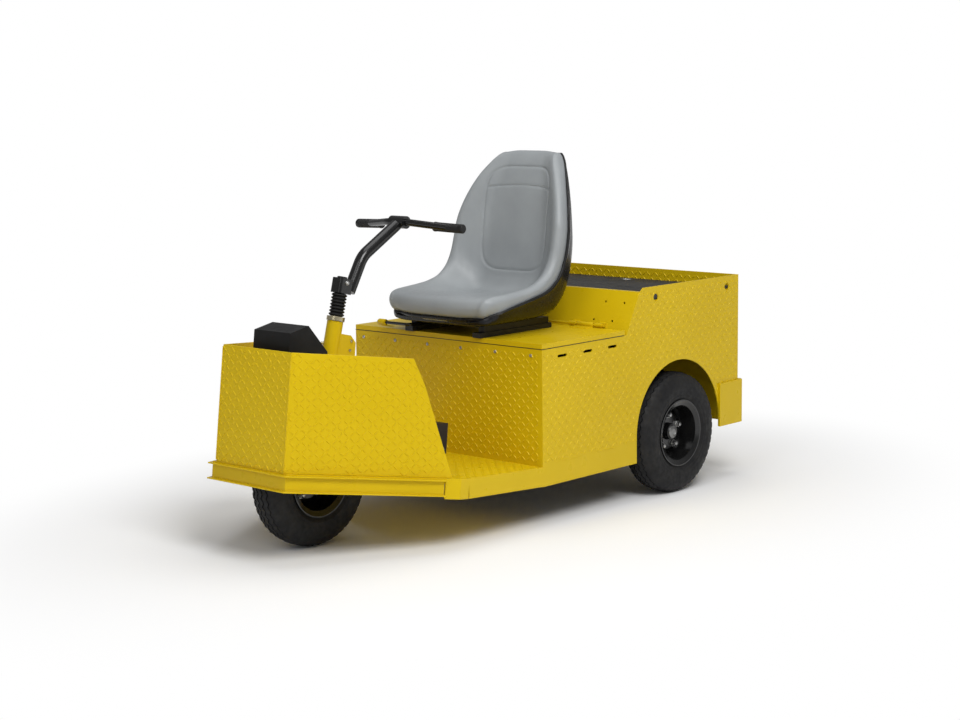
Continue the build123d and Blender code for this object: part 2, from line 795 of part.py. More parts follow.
def battery_pack():
    """Six deep-cycle batteries as one block with raised caps."""
    y0 = riser_y + 60
    z0 = frame_low + frame_height
    pack = block((-battery_half_width, battery_half_width), (y0, y0 + battery_length),
            (z0, z0 + battery_height))
    cap = block((-60, 60), (-18, 18), (0, 18))
    for x in (-1, 0, 1):
        for y in (1, 3):
            pack += Pos(x * battery_half_width * 0.66, y0 + battery_length * y / 4, z0 + battery_height) * cap
    return pack


def rear_axle():
    """Axle tubes, differential housing, brake drums and wheel spindles."""
    drum_face = track / 2 - rim_width / 2 + 10
    tube = Rot(Y=90) * Cylinder(axle_tube_radius, 2 * (drum_face - drum_width))
    housing = Rot(Y=90) * Cylinder(housing_radius, 120)
    housing = fillet(housing.edges(), 30)
    axle = tube + housing
    spindle_end = track / 2 + rim_width / 2 - dish_depth - 1
    for side in (-1, 1):
        axle += Pos(side * (drum_face - drum_width / 2), 0, 0) * Rot(Y=90) * Cylinder(drum_radius, drum_width)
        axle += Pos(side * (drum_face + spindle_end) / 2, 0, 0) * Rot(Y=90) * Cylinder(axle_radius,
                spindle_end - drum_face)
        axle += block(sorted((side * (spring_x - spring_pad), side * (spring_x + spring_pad))),
                (0, spring_y + 22), (-10, 10))
    return Pos(0, 0, tyre_radius) * axle


def drive_motor():
    """Electric motor on the nose of the differential."""
    front = Pos(0, -housing_radius - motor_length / 2 + 1, tyre_radius) * Rot(X=90) * Cylinder(motor_radius,
            motor_length)
    front = fillet(front.edges().group_by(Axis.Y)[0], 12)
    bell = Pos(0, 0, tyre_radius) * Rot(Y=90) * Cylinder(housing_radius + 0.1, 400)
    return front - bell


def rear_springs():
    """Coil springs over shock absorbers, between the axle pads and the frame."""
    low = tyre_radius + 10
    high = frame_high
    seat = 17
    pitch = (high - low - 2 * seat) / spring_turns
    coil_path = Helix(pitch, pitch * spring_turns, spring_radius - spring_wire)
    coil = sweep(Plane(coil_path @ 0, z_dir=coil_path % 0) * Circle(spring_wire), path=coil_path)
    cup = Cylinder(spring_radius + 4, 14)
    damper = Pos(0, 0, (high + low) / 2) * Cylinder(14, high - low)
    spring = damper + Pos(0, 0, low + 7) * cup + Pos(0, 0, high - 7) * cup + Pos(0, 0, low + seat) * coil
    return both_sides(Pos(spring_x, spring_y, 0) * spring)


def trailing_arms():
    """Flat links from the frame back to the axle."""
    x = rail_offset - frame_width / 2 - arm_thickness / 2 - 0.2
    half = arm_height / 2
    front_y, front_z = kick_front - 18, frame_low + frame_height / 2
    arm = across([
        (front_y, front_z - half), (0, tyre_radius - half), (0, tyre_radius + half),
        (front_y, front_z + half)],
        x - arm_thickness / 2, x + arm_thickness / 2)
    arm += Pos(x, front_y, front_z) * Rot(Y=90) * Cylinder(half, arm_thickness)
    eye = Pos(x, 0, tyre_radius) * Rot(Y=90) * Cylinder(axle_tube_radius + 14, arm_thickness)
    bore = Pos(x, 0, tyre_radius) * Rot(Y=90) * Cylinder(axle_tube_radius + 0.1, 4 * arm_thickness)
    return both_sides(arm + eye - bore)


# Assembly

front_place = Pos(0, -wheelbase, tyre_radius)
pieces["front_tyre"] = front_place * tyre()
pieces["front_rim"] = front_place * rim(capped=False)
for name, turn in (("left", 0), ("right", 180)):
    place = Rot(Z=turn) * Pos(track / 2, 0, tyre_radius)
    pieces[f"rear_{name}_tyre"] = place * tyre()
    pieces[f"rear_{name}_rim"] = place * rim(capped=True)

pieces["chassis_frame"] = chassis_frame()
pieces["floor_pan"] = floor_pan()
pieces["nose_channel"] = channel()
pieces["nose_front_plate"] = nose_front()
pieces["nose_side_plate_left"] = nose_side()
pieces["nose_side_plate_right"] = mirror(nose_side(), about=Plane.YZ)
pieces["toe_board"] = toe_board()
pieces["nose_deck"] = nose_deck()
pieces["control_box"] = control_box()
pieces["foot_pedals"] = pedals()
pieces["riser_panel"] = riser()
pieces["side_panel_left"] = side_panel()
pieces["side_panel_right"] = mirror(side_panel(), about=Plane.YZ)
pieces["cargo_front_panel"] = cargo_front()
pieces["cargo_rear_panel"] = cargo_rear()
pieces["cargo_deck"] = cargo_deck()
pieces["deck_mat"] = deck_mat()
pieces["rear_bumper"] = rear_bumper()
pieces["tow_hitch"] = tow_hitch()
pieces["battery_pack"] = battery_pack()
pieces["rear_axle"] = rear_axle()
pieces["drive_motor"] = drive_motor()
pieces["rear_springs"] = rear_springs()
pieces["trailing_arms"] = trailing_arms()

pieces["steering_head"] = steering_head()
pieces["steering_fork"] = fork()
pieces["front_axle"] = front_axle()
pieces["lock_collar"] = lock_collar()
pieces["tiller_boot"] = boot()
pieces["tiller_arm"] = tiller_arm()
pieces["handlebar"] = handlebar()
pieces["hand_grips"] = grips()

pieces["seat_lid"] = seat_lid()
pieces["lid_hinge"] = lid_hinge()
pieces["seat_rails"] = seat_rails()
pieces["seat_lever"] = seat_lever()
pieces["seat_shell"] = seat_shell()
pieces["seat_cushion"] = seat_cushion()
pieces["seat_backrest"] = seat_backrest()

boxes = [piece.bounding_box() for piece in pieces.values()]
middle_y = (min(box.min.Y for box in boxes) + max(box.max.Y for box in boxes)) / 2
centred = Pos(0, -middle_y, 0)
os.makedirs("parts", exist_ok=True)
for name, piece in pieces.items():
    export_step(centred * piece, f"parts/{name}.step")
print("middle_y", round(middle_y, 3), "nodes", len(pieces))
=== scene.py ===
import bmesh
import bpy
import math
from mathutils import Matrix, Vector
from mathutils.bvhtree import BVHTree


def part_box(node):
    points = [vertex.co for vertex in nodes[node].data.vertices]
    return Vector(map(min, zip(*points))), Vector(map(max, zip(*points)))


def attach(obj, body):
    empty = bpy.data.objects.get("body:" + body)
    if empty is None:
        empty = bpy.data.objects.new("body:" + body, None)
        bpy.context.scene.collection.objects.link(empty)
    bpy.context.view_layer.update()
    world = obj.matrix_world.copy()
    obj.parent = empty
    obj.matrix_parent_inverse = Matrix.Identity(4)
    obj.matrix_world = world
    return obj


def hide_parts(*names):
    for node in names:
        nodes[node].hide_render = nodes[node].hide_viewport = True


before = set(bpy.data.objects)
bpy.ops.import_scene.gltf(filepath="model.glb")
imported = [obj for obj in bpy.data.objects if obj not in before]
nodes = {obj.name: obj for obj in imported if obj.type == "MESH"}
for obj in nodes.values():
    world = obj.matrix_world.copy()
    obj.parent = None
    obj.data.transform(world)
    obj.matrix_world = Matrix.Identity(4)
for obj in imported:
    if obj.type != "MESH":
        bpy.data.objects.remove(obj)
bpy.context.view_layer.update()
mm = 0.001
rimLow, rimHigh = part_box("rear_left_rim")
axleY = (rimLow.y + rimHigh.y) / 2  # the rear axle, where the part's own lengths start
print("frame loaded:", len(nodes), "nodes")


def at(x, y, z):  # millimetres from the middle of the rear axle, on the ground
    return Vector((x * mm, y * mm + axleY, z * mm))


# Materials

def newShader(name, color, rough, metal=0.0):
    mat = bpy.data.materials.new(name)
    mat.use_nodes = True
    bsdf = mat.node_tree.nodes["Principled BSDF"]
    bsdf.inputs["Base Color"].default_value = (*color, 1)
    bsdf.inputs["Roughness"].default_value = rough
    bsdf.inputs["Metallic"].default_value = metal
    return mat, mat.node_tree, bsdf


def noiseNode(tree, scale, detail=4.0, stretch=(1, 1, 1)):
    coords = tree.nodes.new("ShaderNodeTexCoord")
    mapping = tree.nodes.new("ShaderNodeMapping")
    mapping.inputs["Scale"].default_value = stretch
    noise = tree.nodes.new("ShaderNodeTexNoise")
    noise.inputs["Scale"].default_value = scale
    noise.inputs["Detail"].default_value = detail
    tree.links.new(coords.outputs["Object"], mapping.inputs["Vector"])
    tree.links.new(mapping.outputs["Vector"], noise.inputs["Vector"])
    return noise


def tint(tree, bsdf, noise, dark, light, low=0.35, high=0.65):  # colour that drifts between two shades
    ramp = tree.nodes.new("ShaderNodeValToRGB")
    ramp.color_ramp.elements[0].position = low
    ramp.color_ramp.elements[1].position = high
    ramp.color_ramp.elements[0].color = (*dark, 1)
    ramp.color_ramp.elements[1].color = (*light, 1)
    tree.links.new(noise.outputs["Fac"], ramp.inputs["Fac"])
    tree.links.new(ramp.outputs["Color"], bsdf.inputs["Base Color"])


def uneven(tree, bsdf, noise, low, high):  # gloss that varies over the surface
    spread = tree.nodes.new("ShaderNodeMapRange")
    spread.inputs["From Min"].default_value = 0.3
    spread.inputs["From Max"].default_value = 0.7
    spread.inputs["To Min"].default_value = low
    spread.inputs["To Max"].default_value = high
    tree.links.new(noise.outputs["Fac"], spread.inputs["Value"])
    tree.links.new(spread.outputs["Result"], bsdf.inputs["Roughness"])


def bumpFrom(tree, bsdf, socket, height, strength=1.0):
    bump = tree.nodes.new("ShaderNodeBump")
    bump.inputs["Strength"].default_value = strength
    bump.inputs["Distance"].default_value = height
    tree.links.new(socket, bump.inputs["Height"])
    tree.links.new(bump.outputs["Normal"], bsdf.inputs["Normal"])


def yellowEnamel():
    look = {"dark": (0.615, 0.425, 0.004), "light": (0.665, 0.465, 0.006), "rough": (0.26, 0.38),
        "peel": 0.00003}
    mat, tree, bsdf = newShader("yellow_enamel", look["light"], 0.3)
    bsdf.inputs["Specular IOR Level"].default_value = 0.36
    bsdf.inputs["Specular Tint"].default_value = (1.0, 0.80, 0.28, 1)
    bsdf.inputs["Coat Weight"].default_value = 0.02
    bsdf.inputs["Coat Roughness"].default_value = 0.1
    tint(tree, bsdf, noiseNode(tree, 2.4, 3), look["dark"], look["light"], 0.3, 0.7)
    uneven(tree, bsdf, noiseNode(tree, 26, 5), *look["rough"])
    bumpFrom(tree, bsdf, noiseNode(tree, 420, 2).outputs["Fac"], look["peel"])
    return mat


def greyVinyl():
    look = {"dark": (0.262, 0.280, 0.290), "light": (0.292, 0.311, 0.321), "rough": (0.36, 0.5),
        "grain": 0.00012}
    mat, tree, bsdf = newShader("grey_vinyl", look["light"], 0.42)
    tint(tree, bsdf, noiseNode(tree, 9, 5), look["dark"], look["light"])
    uneven(tree, bsdf, noiseNode(tree, 60, 4), *look["rough"])
    cells = tree.nodes.new("ShaderNodeTexVoronoi")
    cells.feature = "DISTANCE_TO_EDGE"
    cells.inputs["Scale"].default_value = 620
    coords = tree.nodes.new("ShaderNodeTexCoord")
    tree.links.new(coords.outputs["Object"], cells.inputs["Vector"])
    bumpFrom(tree, bsdf, cells.outputs["Distance"], look["grain"])
    return mat


def blackMoulding(name, rough, color, gloss=0.4):
    mat, tree, bsdf = newShader(name, color, rough[0])
    bsdf.inputs["Specular IOR Level"].default_value = gloss
    tint(tree, bsdf, noiseNode(tree, 14, 4), color, tuple(c * 1.7 for c in color))
    uneven(tree, bsdf, noiseNode(tree, 45, 4), *rough)
    bumpFrom(tree, bsdf, noiseNode(tree, 700, 3).outputs["Fac"], 0.000004)
    return mat


def tyreRubber():
    mat, tree, bsdf = newShader("tyre_rubber", (0.010, 0.010, 0.011), 0.7)
    bsdf.inputs["Specular IOR Level"].default_value = 0.3
    tint(tree, bsdf, noiseNode(tree, 22, 6), (0.007, 0.007, 0.008), (0.015, 0.0145, 0.014))
    uneven(tree, bsdf, noiseNode(tree, 70, 4), 0.55, 0.8)
    bumpFrom(tree, bsdf, noiseNode(tree, 520, 4).outputs["Fac"], 0.00010)
    return mat


def ribbedMat():
    mat, tree, bsdf = newShader("deck_rubber", (0.016, 0.016, 0.016), 0.7)
    ribs = tree.nodes.new("ShaderNodeTexWave")
    ribs.bands_direction = "X"
    ribs.inputs["Scale"].default_value = 32
    coords = tree.nodes.new("ShaderNodeTexCoord")
    tree.links.new(coords.outputs["Object"], ribs.inputs["Vector"])
    tint(tree, bsdf, noiseNode(tree, 11, 6), (0.011, 0.011, 0.011), (0.028, 0.027, 0.025))
    uneven(tree, bsdf, noiseNode(tree, 40, 4), 0.5, 0.78)
    bumpFrom(tree, bsdf, ribs.outputs["Fac"], 0.0008)
    return mat


def platedSteel(name="plated_steel", color=(0.50, 0.50, 0.49), rough=(0.22, 0.42)):
    mat, tree, bsdf = newShader(name, color, rough[0], 1.0)
    tint(tree, bsdf, noiseNode(tree, 60, 5), tuple(c * 0.75 for c in color), color)
    uneven(tree, bsdf, noiseNode(tree, 90, 4, (1, 1, 9)), *rough)
    bumpFrom(tree, bsdf, noiseNode(tree, 300, 3, (1, 1, 8)).outputs["Fac"], 0.00004)
    return mat


paint = yellowEnamel()
vinyl = greyVinyl()
shellBlack = blackMoulding("black_moulding", (0.2, 0.3), (0.006, 0.006, 0.007), 0.28)
coatBlack = blackMoulding("black_powder_coat", (0.32, 0.48), (0.008, 0.008, 0.008), 0.3)
tillerBlack = blackMoulding("tiller_enamel", (0.16, 0.24), (0.005, 0.005, 0.005), 0.5)
rimBlack = blackMoulding("rim_enamel", (0.14, 0.26), (0.006, 0.006, 0.006), 0.5)
boxBlack = blackMoulding("box_texture_coat", (0.36, 0.48), (0.006, 0.006, 0.006), 0.2)
rubber = blackMoulding("soft_rubber", (0.42, 0.58), (0.008, 0.008, 0.008), 0.3)
pedalBrown = blackMoulding("pedal_coat", (0.34, 0.5), (0.014, 0.009, 0.005), 0.15)
batteryCase = blackMoulding("battery_case", (0.4, 0.55), (0.02, 0.02, 0.022))
castGrey = blackMoulding("motor_casting", (0.4, 0.6), (0.09, 0.09, 0.088))
tyreMat = tyreRubber()
deckRubber = ribbedMat()
steel = platedSteel()
brassy = platedSteel("passivated_steel", (0.62, 0.55, 0.36), (0.2, 0.36))
capGrey = platedSteel("hub_cap_grey", (0.30, 0.30, 0.295), (0.36, 0.5))

finishes = {
    paint: ["floor_pan", "nose_channel", "nose_front_plate", "nose_side_plate_left",
        "nose_side_plate_right", "toe_board", "nose_deck", "riser_panel", "side_panel_left",
        "side_panel_right", "cargo_front_panel", "cargo_rear_panel", "cargo_deck", "rear_bumper",
        "steering_head", "seat_lid", "lid_hinge"],
    coatBlack: ["chassis_frame", "trailing_arms", "steering_fork", "rear_axle", "seat_rails"],
    tillerBlack: ["tiller_arm", "handlebar", "seat_lever"],
    rimBlack: ["front_rim", "rear_left_rim", "rear_right_rim"],
    boxBlack: ["control_box"],
    pedalBrown: ["foot_pedals"],
    rubber: ["tiller_boot", "hand_grips"],
    deckRubber: ["deck_mat"],
    steel: ["front_axle", "tow_hitch"],
    brassy: ["lock_collar"],
    batteryCase: ["battery_pack", "rear_springs"],
    castGrey: ["drive_motor"],
}
for finish, names in finishes.items():
    for name in names:
        nodes[name].data.materials.clear()
        nodes[name].data.materials.append(finish)
print("materials on", sum(len(names) for names in finishes.values()), "nodes")

# Folded sheet metal gets a small rounded edge that catches the light
foldedNodes = {"width": 0.0012, "names": ["floor_pan", "nose_channel", "nose_front_plate",
    "nose_side_plate_left", "nose_side_plate_right", "riser_panel", "side_panel_left", "side_panel_right",
    "cargo_front_panel", "cargo_rear_panel", "rear_bumper", "seat_lid", "control_box", "foot_pedals",
    "tow_hitch"]}
for name in foldedNodes["names"]:
    weld = nodes[name].modifiers.new("weld", "WELD")
    weld.merge_threshold = 0.00002
    plain = nodes[name].modifiers.new("plain", "DECIMATE")  # joins the triangles of each flat face
    plain.decimate_type = "DISSOLVE"
    plain.angle_limit = math.radians(0.5)
    edge = nodes[name].modifiers.new("edge", "BEVEL")
    edge.width = foldedNodes["width"]
    edge.segments = 2
    edge.limit_method = "ANGLE"
    edge.angle_limit = math.radians(40)
    edge.harden_normals = True


# Mesh helpers

def addPiece(name, bm, mat, body, smooth=True, replaced=()):
    bmesh.ops.recalc_face_normals(bm, faces=bm.faces)
    mesh = bpy.data.meshes.new(name)
    bm.to_mesh(mesh)
    bm.free()
    for face in mesh.polygons:
        face.use_smooth = smooth
    mesh.materials.append(mat)
    obj = bpy.data.objects.new(name, mesh)
    bpy.context.scene.collection.objects.link(obj)
    if smooth:
        mesh.set_sharp_from_angle(angle=math.radians(38))
    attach(obj, body)
    if replaced:
        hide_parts(*replaced)
    return obj


def loft(bm, rings, closedRings=True, caps=True):  # skins a list of rings of points
    rows = [[bm.verts.new(p) for p in ring] for ring in rings]
    count = len(rows[0])
    for a, b in zip(rows, rows[1:]):
        for i in range(count if closedRings else count - 1):
            j = (i + 1) % count
            bm.faces.new((a[i], a[j], b[j], b[i]))
    if caps:
        bm.faces.new(rows[0])
        bm.faces.new(rows[-1])
    return rows


def tube(bm, path, radius, sides=10, closed=False):
    rings = []
    side = None
    count = len(path)
    for i, p in enumerate(path):
        before = path[i - 1] if (i or closed) else p
        after = path[(i + 1) % count] if (i < count - 1 or closed) else p
        along = (after - before).normalized()
        if side is None:
            side = along.orthogonal().normalized()
        side = (side - along * side.dot(along)).normalized()
        up = along.cross(side)
        turns = [2 * math.pi * k / sides for k in range(sides)]
        rings.append([p + radius * (math.cos(t) * side + math.sin(t) * up) for t in turns])
    if closed:
        rings.append(rings[0])
    loft(bm, rings, caps=not closed)
    if closed:
        bmesh.ops.remove_doubles(bm, verts=bm.verts, dist=1e-7)


def lathe(bm, place, profile, sides=24):  # profile of (radius, height) pairs turned round local Z
    rings = []
    for radius, height in profile:
        turns = [2 * math.pi * k / sides for k in range(sides)]
        rings.append([place @ Vector((radius * math.cos(t), radius * math.sin(t), height)) for t in turns])
    loft(bm, rings)


def facing(point, normal):  # placement whose local Z looks along a normal
    return Matrix.Translation(point) @ normal.to_track_quat("Z", "Y").to_matrix().to_4x4()


def curveThrough(points, share):  # smooth line through points, share from 0 to 1
    span = share * (len(points) - 1)
    i = min(int(span), len(points) - 2)
    t = span - i
    p1, p2 = points[i], points[i + 1]
    p0 = points[i - 1] if i else [2 * a - b for a, b in zip(p1, p2)]
    p3 = points[i + 2] if i + 2 < len(points) else [2 * b - a for a, b in zip(p1, p2)]
    place = []
    for a, b, c, d in zip(p0, p1, p2, p3):
        bend = (2 * a - 5 * b + 4 * c - d) * t * t
        place.append(0.5 * (2 * b + (c - a) * t + bend + (3 * b - 3 * c + d - a) * t ** 3))
    return place


def nodeTree(node):  # search tree over a node's faces
    mesh = nodes[node].data
    return BVHTree.FromPolygons([v.co for v in mesh.vertices], [tuple(f.vertices) for f in mesh.polygons])


def surfaceSpot(node, start, direction):  # where a line first meets a node, with the normal there
    spot, normal, index, distance = nodeTree(node).ray_cast(start, direction.normalized(), 2.0)
    return spot, normal


# Raised lugs of the tread plate, one joined mesh a plate

treadLug = {"length": 18.4 * mm, "width": 5.4 * mm, "height": 1.6 * mm, "pitch": 18.4 * mm,
    "sink": 0.3 * mm, "margin": 2 * mm, "probe": 10 * mm, "flat": 0.4 * mm, "topLength": 0.74,
    "topWidth": 0.42}


def plateFace(name, direction):  # the largest flat face that looks one way
    mesh = nodes[name].data
    groups = {}
    for face in mesh.polygons:
        if face.normal.dot(direction) > 0.6:
            corner = mesh.vertices[face.vertices[0]].co
            key = (round(face.normal.x, 2), round(face.normal.y, 2), round(face.normal.z, 2),
                round(face.normal.dot(corner), 3))
            groups.setdefault(key, []).append(face)
    best = max(groups.values(), key=lambda faces: sum(f.area for f in faces))
    points = [mesh.vertices[v].co for f in best for v in f.vertices]
    return best[0].normal.copy(), points


def treadPlate(pieceName, node, direction, lowest=-1.0, relief=1.0):  # relief: share of the full lug height
    normal, points = plateFace(node, direction)
    rise = Vector((0, 0, 1)) if abs(normal.z) < 0.7 else Vector((0, -1, 0))
    rise = (rise - normal * rise.dot(normal)).normalized()
    across = rise.cross(normal)
    origin = points[0]
    spans = [[(p - origin).dot(d) for p in points] for d in (across, rise)]
    tree = nodeTree(node)
    lug = treadLug
    half = lug["length"] / 2
    bm = bmesh.new()
    outline = [(-1, 0), (-0.62, -0.72), (0, -1), (0.62, -0.72), (1, 0), (0.62, 0.72), (0, 1), (-0.62, 0.72)]

    def onPlate(p):
        probe = lug["probe"]
        spot, n, index, distance = tree.ray_cast(p + normal * probe, -normal, 2 * probe)
        return spot is not None and abs(distance - probe) < lug["flat"]

    columns = int((max(spans[0]) - min(spans[0])) / lug["pitch"]) + 1
    rows = int((max(spans[1]) - min(spans[1])) / lug["pitch"]) + 1
    count = 0
    for i in range(columns):
        for j in range(rows):
            column = min(spans[0]) + (i + 0.5) * lug["pitch"]
            row = min(spans[1]) + (j + 0.5) * lug["pitch"]
            centre = origin + across * column + rise * row
            slant = math.radians(45 if (i + j) % 2 else -45)
            long = across * math.cos(slant) + rise * math.sin(slant)
            wide = normal.cross(long)
            reach = half + lug["margin"]
            ends = [centre + long * reach, centre - long * reach]
            ends += [centre + wide * lug["margin"], centre - wide * lug["margin"]]
            if centre.z < lowest or not all(onPlate(p) for p in ends):
                continue
            halfWide = wide * lug["width"] / 2
            peak = normal * lug["height"] * relief
            topLong, topWide = long * half * lug["topLength"], halfWide * lug["topWidth"]
            foot = [centre + long * half * a + halfWide * b - normal * lug["sink"] for a, b in outline]
            top = [centre + topLong * a + topWide * b + peak for a, b in outline]
            lower = [bm.verts.new(p) for p in foot]
            upper = [bm.verts.new(p) for p in top]
            for k in range(len(outline)):
                m = (k + 1) % len(outline)
                bm.faces.new((lower[k], lower[m], upper[m], upper[k]))
            bm.faces.new(upper)
            bm.faces.new(lower)
            count += 1
    print("tread", pieceName, count, "lugs")
    return addPiece(pieceName, bm, paint, "chassis")


sillTop = 0.200  # the plain strip along the foot of the body
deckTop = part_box("deck_mat")[1].z
treadPlate("tread_nose_front", "nose_front_plate", Vector((0, -1, 0)))
treadPlate("tread_nose_left", "nose_side_plate_left", Vector((0.88, -0.46, 0)))
treadPlate("tread_nose_right", "nose_side_plate_right", Vector((-0.88, -0.46, 0)))
treadPlate("tread_riser", "riser_panel", Vector((0, -1, 0)), lowest=sillTop)
treadPlate("tread_side_left", "side_panel_left", Vector((1, 0, 0)), lowest=sillTop, relief=0.8)
treadPlate("tread_side_right", "side_panel_right", Vector((-1, 0, 0)), lowest=sillTop, relief=0.8)
treadPlate("tread_cargo_rear", "cargo_rear_panel", Vector((0, -1, 0)), lowest=deckTop)
treadPlate("tread_tail", "cargo_rear_panel", Vector((0, 1, 0)), lowest=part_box("rear_bumper")[1].z)
treadPlate("tread_floor", "floor_pan", Vector((0, 0, 1)), relief=0.5)


# Tyres with zigzag ribs

tyre = {"radius": 206, "half": 57.0, "treadHalf": 42, "crownDrop": 10, "grooves": (-28, -9.5, 9.5, 28),
    "grooveWidth": 4.5, "grooveDepth": 6, "zig": 4.0, "teeth": 46, "stepsPerTooth": 4}


def tyreProfile():  # (x, radius, share of the zigzag)
    def crown(x):
        return tyre["radius"] - tyre["crownDrop"] * (x / tyre["treadHalf"]) ** 2
    half = tyre["half"]
    wall = [(44.5, 193.5, 0), (48.2, 187.5, 0), (50.8, 181, 0), (51.6, 180, 0), (54.6, 170, 0),
        (half, 158, 0), (half, 151, 0), (56.2, 142, 0), (56.7, 140, 0), (56.2, 138, 0), (54.4, 130, 0),
        (54.9, 128.5, 0), (54.0, 127, 0), (50.5, 119, 0), (46.5, 114.2, 0)]
    middle = [(-tyre["treadHalf"], crown(tyre["treadHalf"]), 0)]
    for g in tyre["grooves"]:
        w = tyre["grooveWidth"] / 2
        floor = crown(g) - tyre["grooveDepth"]
        middle += [(g - w, crown(g), 1), (g - w * 0.7, floor, 1), (g + w * 0.7, floor, 1),
            (g + w, crown(g), 1)]
    middle.append((tyre["treadHalf"], crown(tyre["treadHalf"]), 0))
    return [(-x, r, s) for x, r, s in reversed(wall)] + middle + wall


def addTyre(name, node, body):
    low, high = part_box(node)
    centre = (low + high) / 2
    steps = tyre["teeth"] * tyre["stepsPerTooth"]
    bm = bmesh.new()
    rings = []
    for k in range(steps):
        phase = (k % tyre["stepsPerTooth"]) / tyre["stepsPerTooth"]
        zig = tyre["zig"] * (4 * abs(phase - 0.5) - 1)
        notch = 2.6 if (k % tyre["stepsPerTooth"]) == 0 else 0.0  # small cuts along the shoulders
        angle = 2 * math.pi * k / steps
        ring = []
        for x, r, share in tyreProfile():
            r = r - notch if 183 < r < 197 and abs(x) > 41 else r
            ring.append(centre + Vector((x + share * zig, r * math.sin(angle), r * math.cos(angle))) * mm)
        rings.append(ring)
    rings.append(rings[0])
    loft(bm, rings, caps=False)
    bmesh.ops.remove_doubles(bm, verts=bm.verts, dist=1e-6)
    addPiece(name, bm, tyreMat, body, replaced=(node,))


wheels = {"front": ("front_tyre", "front_wheel", 1),
    "rear_left": ("rear_left_tyre", "rear_left_wheel", 1),
    "rear_right": ("rear_right_tyre", "rear_right_wheel", -1)}
for name, (node, body, side) in wheels.items():
    addTyre(name + "_treaded_tyre", node, body)
print("tyres done")


# Bright wheel nuts and hub caps

hub = {"face": -6, "nutCircle": 57, "nutCount": 5, "nutRadius": 10.2, "nutHeight": 17, "capRadius": 25,
    "capHeight": 28}
for name, (node, body, side) in wheels.items():
    low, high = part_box(node)
    centre = (low + high) / 2
    bm = bmesh.new()
    for i in range(hub["nutCount"]):
        turn = 2 * math.pi * i / hub["nutCount"]
        spot = centre + Vector((side * hub["face"], -side * hub["nutCircle"] * math.sin(turn),
            hub["nutCircle"] * math.cos(turn))) * mm
        place = facing(spot, Vector((side, 0, 0)))
        r, h = hub["nutRadius"] * mm, hub["nutHeight"] * mm
        lathe(bm, place, [(r * 1.25, 0), (r * 1.25, h * 0.14), (r, h * 0.15), (r, h * 0.62),
            (r * 0.86, h * 0.66)], 6)
        lathe(bm, place, [(r * 0.8, h * 0.6), (r * 0.78, h * 0.82), (r * 0.55, h * 0.97),
            (r * 0.2, h * 1.02)], 14)
    addPiece(name + "_wheel_nuts", bm, steel, body)
    if name == "front":
        continue
    bm = bmesh.new()
    place = facing(centre + Vector((side * hub["face"], 0, 0)) * mm, Vector((side, 0, 0)))
    r, h = hub["capRadius"] * mm, hub["capHeight"] * mm
    lathe(bm, place, [(r * 1.1, 0), (r * 1.1, h * 0.12), (r, h * 0.16), (r * 0.97, h * 0.7),
        (r * 0.86, h * 0.9), (r * 0.5, h), (r * 0.45, h * 0.93), (r * 0.1, h * 0.92)], 32)
    addPiece(name + "_hub_cap", bm, capGrey, body)
print("hubs done")


# Screws and bolts

def panHead(bm, spot, normal, radius, height):
    place = facing(spot, normal)
    lathe(bm, place, [(radius, -0.0004), (radius, height * 0.35), (radius * 0.84, height * 0.8),
        (radius * 0.5, height), (radius * 0.42, height * 0.98), (radius * 0.38, height * 0.5),
        (radius * 0.1, height * 0.45)], 12)


def hexHead(bm, spot, normal, radius, height):
    place = facing(spot, normal)
    lathe(bm, place, [(radius * 1.35, -0.0004), (radius * 1.35, height * 0.2),
        (radius * 1.3, height * 0.25)], 18)
    lathe(bm, place, [(radius, height * 0.2), (radius, height * 0.9), (radius * 0.86, height)], 6)


riserScrews = {"count": 6, "left": -374.5, "right": 368, "z": 546, "radius": 5.6 * mm, "height": 3.4 * mm}
bm = bmesh.new()
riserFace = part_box("riser_panel")[0].y
for i in range(riserScrews["count"]):
    x = riserScrews["left"] + (riserScrews["right"] - riserScrews["left"]) * i / (riserScrews["count"] - 1)
    panHead(bm, Vector((x * mm, riserFace, riserScrews["z"] * mm)), Vector((0, -1, 0)),
        riserScrews["radius"], riserScrews["height"])
addPiece("riser_screws", bm, steel, "chassis")

gussetBolts = {"spots": [(-1146, 612), (-1153, 584)], "radius": 5 * mm, "height": 4 * mm}
bm = bmesh.new()
for side in (-1, 1):
    for y, z in gussetBolts["spots"]:
        spot, normal = surfaceSpot("steering_head", at(side * 300, y, z), Vector((-side, 0, 0)))
        panHead(bm, spot, normal, gussetBolts["radius"], gussetBolts["height"])
addPiece("gusset_bolts", bm, brassy, "chassis")

headBolt = {"z": 611, "y": -1208, "aim": (0.742, 0.67, 0), "radius": 4.5 * mm, "height": 8 * mm}
bm = bmesh.new()
aim = Vector(headBolt["aim"])
spot, normal = surfaceSpot("steering_head", at(0, headBolt["y"], headBolt["z"]) - aim * 0.3, aim)
hexHead(bm, spot, normal, headBolt["radius"], headBolt["height"])
addPiece("head_bolt", bm, brassy, "chassis")

clampBolt = {"y": -1158, "z": 792, "radius": 5.2 * mm, "height": 6 * mm}
bm = bmesh.new()
for side in (-1, 1):
    spot, normal = surfaceSpot("tiller_arm", at(side * 300, clampBolt["y"], clampBolt["z"]),
        Vector((-side, 0, 0)))
    hexHead(bm, spot, normal, clampBolt["radius"], clampBolt["height"])
addPiece("tiller_clamp_bolt", bm, steel, "steering")

pedalBolts = {"y": -1068, "z": 298, "radius": 6 * mm, "height": 5 * mm}
bm = bmesh.new()
for side in (-1, 1):
    spot, normal = surfaceSpot("foot_pedals", at(side * 500, pedalBolts["y"], pedalBolts["z"]),
        Vector((-side, 0, 0)))
    hexHead(bm, spot, normal, pedalBolts["radius"], pedalBolts["height"])
addPiece("pedal_bolts", bm, steel, "chassis")

